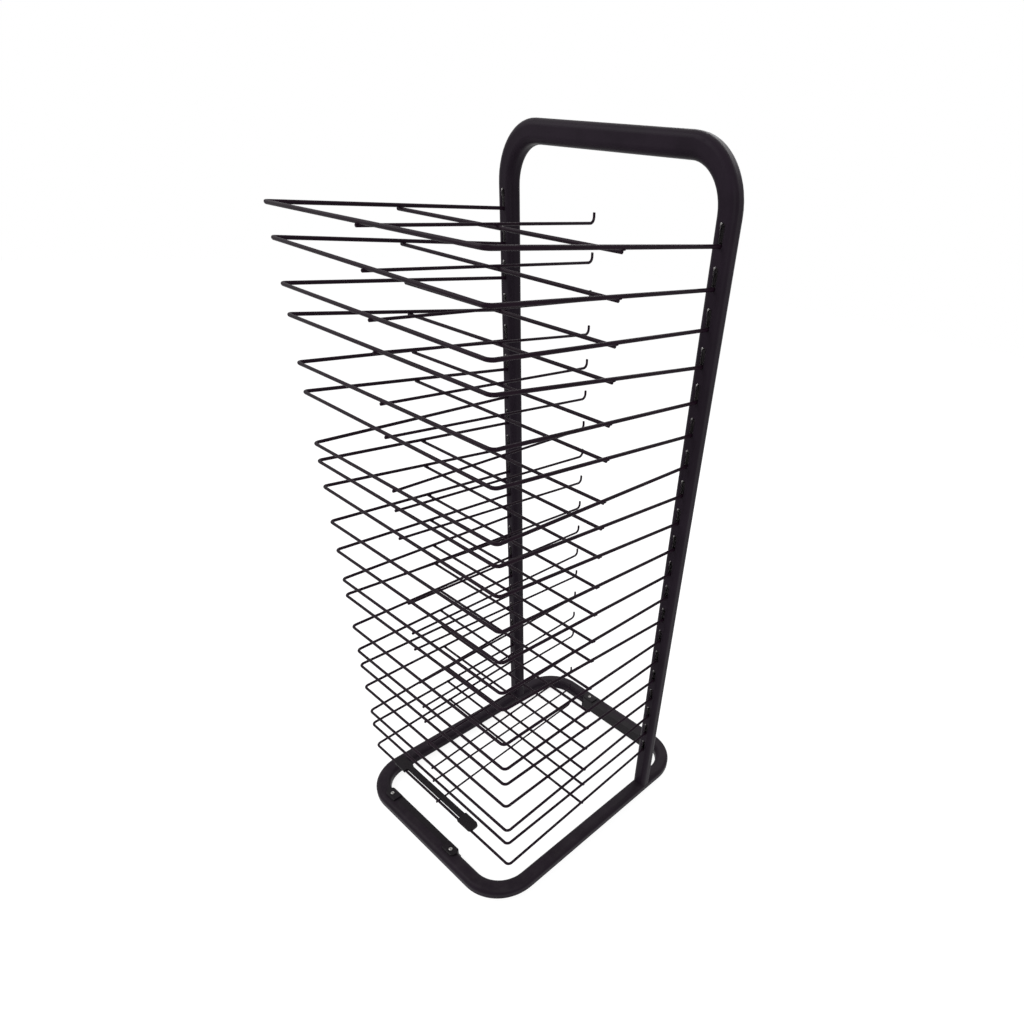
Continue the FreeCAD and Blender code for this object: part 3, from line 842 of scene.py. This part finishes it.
@dataclass
class WireShelf:
    """One shelf: outline wire with its hooks, cross wire and middle wire, welded together."""

    span: float = 0.336
    reach: float = 0.300
    to_face: float = 0.00275
    wire: float = 0.004
    middle_wire: float = 0.003
    front_bend: float = 0.006
    hook_bend: float = 0.004
    hook_leg: float = 0.012
    hook_in: float = 0.014
    cross_at: float = 0.149
    cross_poke: float = 0.0022
    cross_shift: float = 0.003
    middle_poke: float = 0.003
    stop_gap: float = 0.0095
    stop_rise: float = 0.012
    stop_bend: float = 0.006
    weld_sink: float = 0.0005
    shear: float = 0.00035
    bead_wide: float = 0.0025
    bead_high: float = 0.0010
    wire_sides: int = 18
    middle_sides: int = 16

    @property
    def front(self) -> float:
        """Where the front wire lies along Y."""
        return -(self.to_face + self.reach)

    @property
    def cross(self) -> float:
        """Where the cross wire lies along Y."""
        return -(self.to_face + self.cross_at)

    @property
    def cross_drop(self) -> float:
        """How far the cross wire lies below the side wires."""
        return self.wire - self.weld_sink

    @property
    def front_drop(self) -> float:
        """How far the middle wire lies below the front wire."""
        return (self.wire + self.middle_wire) / 2 - self.weld_sink

    def mesh(self, bent: Pair) -> bpy.types.Mesh:
        """Build the shelf about its rocking line, with its wires reaching to -Y.

        Args:
            bent: How far use has bent the left and the right front corner up, in millimetres.

        Returns:
            The mesh of one shelf.
        """
        mesh = bmesh.new()
        self._outline(mesh)
        self._cross_wire(mesh)
        self._stop_wire(mesh)
        self._beads(mesh)
        self._bend(mesh, bent)
        return finish_mesh("shelf_wires", mesh)

    def _outline(self, mesh: bmesh.types.BMesh) -> None:
        """Run the outline wire from hook to hook.

        Args:
            mesh: The mesh that it is added to.
        """
        half = self.span / 2
        corners = [Vector((-half, self.hook_in, -self.hook_leg)), Vector((-half, self.hook_in, 0)),
                   Vector((-half, self.front, 0)), Vector((half, self.front, 0)),
                   Vector((half, self.hook_in, 0)), Vector((half, self.hook_in, -self.hook_leg))]
        bends = [self.hook_bend, self.front_bend, self.front_bend, self.hook_bend]
        sweep(mesh, bent_path(corners, bends), self.wire / 2, self.wire_sides, self.shear)

    def _cross_wire(self, mesh: bmesh.types.BMesh) -> None:
        """Lay the cross wire under the side wires.

        Args:
            mesh: The mesh that it is added to.
        """
        beyond = self.span / 2 + self.cross_poke
        ends = [Vector((side * beyond - self.cross_shift, self.cross, -self.cross_drop))
                for side in (-1, 1)]
        sweep(mesh, ends, self.wire / 2, self.wire_sides, self.shear)

    def _stop_wire(self, mesh: bmesh.types.BMesh) -> None:
        """Run the middle wire from under the front wire over the cross wire to its stop.

        Args:
            mesh: The mesh that it is added to.
        """
        over_cross = self.cross_drop - self.front_drop
        slope = (self.front_drop - over_cross) / (self.reach - self.cross_at)
        tip = Vector((0, self.front - self.middle_poke,
                      -(self.front_drop + slope * self.middle_poke)))
        foot = Vector((0, -(self.to_face + self.stop_gap),
                       slope * (self.reach - self.stop_gap) - self.front_drop))
        stop = Vector((0, foot.y, self.stop_rise))
        sweep(mesh, bent_path([tip, foot, stop], [self.stop_bend]), self.middle_wire / 2,
              self.middle_sides, self.shear)

    def _beads(self, mesh: bmesh.types.BMesh) -> None:
        """Weld the wires where they cross.

        Args:
            mesh: The mesh that the beads are added to.
        """
        half = self.span / 2
        size = Vector((self.bead_wide, self.bead_wide, self.bead_high))
        for spot in ((-half, self.cross), (half, self.cross), (0.0, self.cross),
                     (0.0, self.front)):
            bead(mesh, Vector((*spot, -self.cross_drop / 2)), size)

    def _bend(self, mesh: bmesh.types.BMesh, bent: Pair) -> None:
        """Bend the front corners, less and less towards the rocking line.

        Args:
            mesh: The wires.
            bent: How far the left and the right corner go up, in millimetres.
        """
        left, right = (rise / MM_PER_METRE for rise in bent)
        for point in mesh.verts:
            rise = left + (right - left) * (point.co.x / self.span + 0.5)
            point.co.z += rise * max(0.0, -point.co.y) / self.reach


@dataclass
class ShelfStack:
    """The twenty shelves, each hung at its own lean."""

    # How far each shelf leans forward, in degrees, from the highest to the lowest.
    leans: tuple[float, ...] = (1.0, 0.0, 0.0, -2.0, -0.5, -1.5, 2.0, -1.0, -1.5, -0.5,
                                0.0, 1.0, -1.5, 2.0, 3.0, 1.0, 2.0, 4.5, 2.5, 4.5)
    # How far the left and right front corners have been bent up, in millimetres. The last
    # seven shelves are flat.
    bent: tuple[Pair, ...] = (
        (-0.8, 2.5), (3.2, -1.5), (1.5, -1.3), (0.6, 0.0), (-1.0, 0.9), (1.1, -0.9), (-1.2, 0.0),
        (0.0, -1.1), (2.8, 0.0), (-1.2, 0.0), (-1.5, 0.0), (-3.0, 0.0), (-3.0, 0.0),
        *(((0.0, 0.0),) * 7))
    pattern: WireShelf = field(default_factory=WireShelf)

    def build(self, finishes: Finishes, hinges: Sequence[Vector]) -> None:
        """Hang every shelf.

        Args:
            finishes: The materials.
            hinges: Where each shelf rocks, from the highest to the lowest.
        """
        hung = zip(hinges, self.leans, self.bent)
        for number, (hinge, lean, bent) in enumerate(hung, start=1):
            node = "shelf_%02d" % number
            shelf = place("wires_of_" + node, self.pattern.mesh(bent), hinge,
                          (math.radians(lean), 0.0, 0.0))
            finishes.dress(shelf, Slot.WIRE)
            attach(shelf, node)
            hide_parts(node)
            log.info("%s hung at %.1f degrees", shelf.name, lean)


# ------------------------------------------------------------------ fittings


@dataclass
class Screw:
    """A pan-head screw with a crossed recess."""

    head: float = 0.006
    dome: float = 0.0019
    rim: float = 0.0008
    shank: float = 0.003
    long: float = 0.009
    tip_in: float = 0.0006
    tip_long: float = 0.001
    recess: float = 0.0036
    recess_wide: float = 0.0009
    recess_deep: float = 0.0012
    floor_long: float = 0.55
    floor_wide: float = 0.8
    tool_over: float = 0.001
    dome_steps: int = 8
    turn_steps: int = 32

    def mesh(self) -> bpy.types.Mesh:
        """Turn the screw and cut its recess.

        Returns:
            The mesh, its head seated at the origin.
        """
        body = place("screw_body", self._blank())
        for turn in (0.0, math.pi / 2):
            cutter = place("recess_tool", self._blade(), turn=(0.0, 0.0, turn))
            cut = body.modifiers.new("recess", "BOOLEAN")
            cut.object = cutter
            cut.operation = "DIFFERENCE"
            cut.solver = "EXACT"
            bpy.context.view_layer.update()
            cut_mesh = bpy.data.meshes.new_from_object(
                body.evaluated_get(bpy.context.evaluated_depsgraph_get()))
            body.modifiers.clear()
            body.data = cut_mesh
            bpy.data.objects.remove(cutter)
        data = body.data
        bpy.data.objects.remove(body)
        return data

    def _blank(self) -> bpy.types.Mesh:
        """Turn the screw before its recess is cut.

        Returns:
            The mesh of a shank under a domed head.
        """
        mesh = bmesh.new()
        turns = (i * math.pi / (2 * self.dome_steps) for i in range(self.dome_steps))
        dome = [(self.head / 2 * math.cos(a), self.rim + (self.dome - self.rim) * math.sin(a))
                for a in turns]
        radius = self.shank / 2
        outline = [(radius - self.tip_in, -self.long), (radius, -self.long + self.tip_long),
                   (radius, 0.0), (self.head / 2, 0.0), *dome, (0.0, self.dome)]
        revolve(mesh, outline, self.turn_steps)
        return finish_mesh("screw_body", mesh)

    def _blade(self) -> bpy.types.Mesh:
        """Make the tool for one arm of the recess, tapered towards its floor.

        Returns:
            The mesh of the tool, standing in the head.
        """
        mesh = bmesh.new()
        for point in bmesh.ops.create_cube(mesh, size=1.0)["verts"]:
            at_floor = point.co.z < 0
            point.co.x *= self.recess * (self.floor_long if at_floor else 1.0)
            point.co.y *= self.recess_wide * (self.floor_wide if at_floor else 1.0)
            point.co.z = self.dome + (-self.recess_deep if at_floor else self.tool_over)
        return finish_mesh("recess_tool", mesh, smooth=0.0)


@dataclass
class Fittings:
    """The foot bars, the grip, the screws, and what joins hoop and ring."""

    screw: Screw = field(default_factory=Screw)
    screws_apart: float = 0.158
    # How far the recess of each screw is turned, in radians.
    turns: tuple[float, ...] = (0.3, 1.1, 0.7, 0.1)

    def build(self, finishes: Finishes, frame: dict) -> None:
        """Dress the mouldings and the fasteners.

        Args:
            finishes: The materials.
            frame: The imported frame.
        """
        finishes.dress_solids(frame, {
            "floor_glides": Slot.MOULDING, "shelf_grip": Slot.MOULDING,
            "hoop_plugs": Slot.MOULDING, "hoop_bolts": Slot.ZINC, "hoop_washers": Slot.ZINC})
        self._screws(finishes)

    def _screws(self, finishes: Finishes) -> None:
        """Drive the four screws, each turned as it came to rest.

        Args:
            finishes: The materials.
        """
        low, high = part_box("glide_screws")
        lap = self.screw.head / 2
        left, right = low.x + lap, high.x - lap
        front, rear = low.y + lap, high.y - lap
        inner = left + self.screws_apart
        spots = ((left, front), (inner, front), (right, rear), (-inner, rear))
        data = self.screw.mesh()
        for number, (spot, turn) in enumerate(zip(spots, self.turns), start=1):
            screw = place("foot_screw_%d" % number, data,
                          (*spot, high.z - self.screw.dome), (0.0, 0.0, turn))
            finishes.dress(screw, Slot.BRIGHT)
            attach(screw, RACK)
            if number == 1:
                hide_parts("glide_screws")
            log.info("%s driven", screw.name)


# ------------------------------------------------------------------ studio


@dataclass
class Lamp:
    """A soft box."""

    name: str
    at: Triple
    size: Pair
    watts: float

    def build(self, target: Vector) -> None:
        """Hang the lamp and point it.

        Args:
            target: What it points at.
        """
        data = bpy.data.lights.new(self.name, "AREA")
        data.shape = "RECTANGLE"
        data.size, data.size_y = self.size
        data.energy = self.watts
        lamp = bpy.data.objects.new(self.name, data)
        lamp.location = self.at
        lamp.rotation_euler = (Vector(self.at) - target).to_track_quat("Z", "Y").to_euler()
        bpy.context.scene.collection.objects.link(lamp)


@dataclass
class Studio:
    """The floor, the background, the lamps and the camera."""

    floor_half: float = 6.0
    # The floor's grey as the rack sees it, and its grey under the glow as it shows.
    floor_lit: float = 0.75
    floor_shade: float = 0.30
    floor_glow: float = 0.875
    ambient: float = 0.48
    camera_at: Triple = (0.59737, -0.53649, 0.88981)
    # About X, Y and Z, in degrees.
    camera_turn: Triple = (52.571, -5.593, 40.706)
    # In millimetres.
    lens: float = 22.178
    film: float = 36.0
    # The point straight ahead of the lens, in pixels from the frame's upper left corner.
    ahead: Pair = (632.2, 658.3)
    nearest: float = 0.02
    lamps_aim: Triple = (0.0, 0.0, 0.4)
    lamps: tuple[Lamp, ...] = (
        Lamp("key_box", (-1.4, -1.6, 2.2), (1.6, 1.6), 34.0),
        Lamp("fill_box", (1.9, -0.9, 1.3), (1.2, 1.8), 14.0),
        Lamp("rim_box", (-0.6, 1.9, 1.9), (1.8, 0.9), 16.0))

    def build(self) -> None:
        """Set up everything that isn't the rack."""
        bpy.context.scene.view_settings.view_transform = "Standard"
        self._floor()
        self._world()
        for lamp in self.lamps:
            lamp.build(Vector(self.lamps_aim))
        self._camera()

    @staticmethod
    def _seen(board: Board) -> bpy.types.NodeSocket:
        """Tell the rays that show the background from those that light the rack.

        Args:
            board: The nodes of the floor or the world.

        Returns:
            One for rays that are straight, mirrored or through glass.
        """
        path = board.add("LightPath").outputs
        mirrored = board.maths("MAXIMUM", path["Is Glossy Ray"], path["Is Transmission Ray"])
        return board.maths("MAXIMUM", path["Is Camera Ray"], mirrored)

    def _floor(self) -> None:
        """Lay a plain white floor that keeps a faint shadow."""
        mesh = bmesh.new()
        bmesh.ops.create_grid(mesh, x_segments=1, y_segments=1, size=self.floor_half)
        floor = place("studio_floor", finish_mesh("studio_floor", mesh))
        material, board = new_material("floor_white")
        lit = board.add("BsdfDiffuse", {"Color": (*[self.floor_lit] * 3, 1.0)})
        shaded = board.add("BsdfDiffuse", {"Color": (*[self.floor_shade] * 3, 1.0)})
        glow = board.add("Emission", {"Color": WHITE, "Strength": self.floor_glow})
        bright = board.add("AddShader", {0: shaded.outputs[0], 1: glow.outputs[0]})
        chosen = board.add("MixShader", {0: self._seen(board), 1: lit.outputs[0],
                                         2: bright.outputs[0]})
        board.add("OutputMaterial", {"Surface": chosen.outputs[0]})
        floor.data.materials.append(material)

    def _world(self) -> None:
        """Make the world white where it is seen, and softer as a light."""
        world = bpy.data.worlds.new("studio_world")
        world.use_nodes = True
        bpy.context.scene.world = world
        board = Board(world.node_tree)
        strength = board.add("MapRange", {"Value": self._seen(board), "To Min": self.ambient,
                                          "To Max": 1.0}).outputs["Result"]
        sky = board.add("Background", {"Color": WHITE, "Strength": strength})
        board.add("OutputWorld", {"Surface": sky.outputs[0]})

    def _camera(self) -> None:
        """Set up the camera, its film shifted so that the rack sits where it should."""
        data = bpy.data.cameras.new("view")
        data.sensor_fit = "HORIZONTAL"
        data.sensor_width = self.film
        data.lens = self.lens
        data.shift_x = (IMAGE_SIDE / 2 - self.ahead[0]) / IMAGE_SIDE
        data.shift_y = (self.ahead[1] - IMAGE_SIDE / 2) / IMAGE_SIDE
        data.clip_start = self.nearest
        camera = bpy.data.objects.new("view", data)
        camera.location = self.camera_at
        camera.rotation_euler = [math.radians(a) for a in self.camera_turn]
        bpy.context.scene.collection.objects.link(camera)
        bpy.context.scene.camera = camera


# ------------------------------------------------------------------ assembly


def shelf_hinges(frame: dict) -> list[Vector]:
    """Find where each shelf rocks.

    Args:
        frame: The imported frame.

    Returns:
        The middle of each rocking line, from the highest shelf to the lowest.
    """
    places = {joint["child"]: Vector(joint["pos_m"]) for joint in frame["joints"]}
    return [places[body] for body in sorted(places)]


def main() -> None:
    """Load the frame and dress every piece."""
    logging.basicConfig(level=logging.INFO, format="%(name)s: %(message)s")
    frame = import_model()
    finishes = Finishes()
    hinges = shelf_hinges(frame)
    TubeFrame().build(finishes, frame, hinges)
    ShelfStack().build(finishes, hinges)
    Fittings().build(finishes, frame)
    Studio().build()
    bpy.context.view_layer.update()


if __name__ == "__main__":
    main()
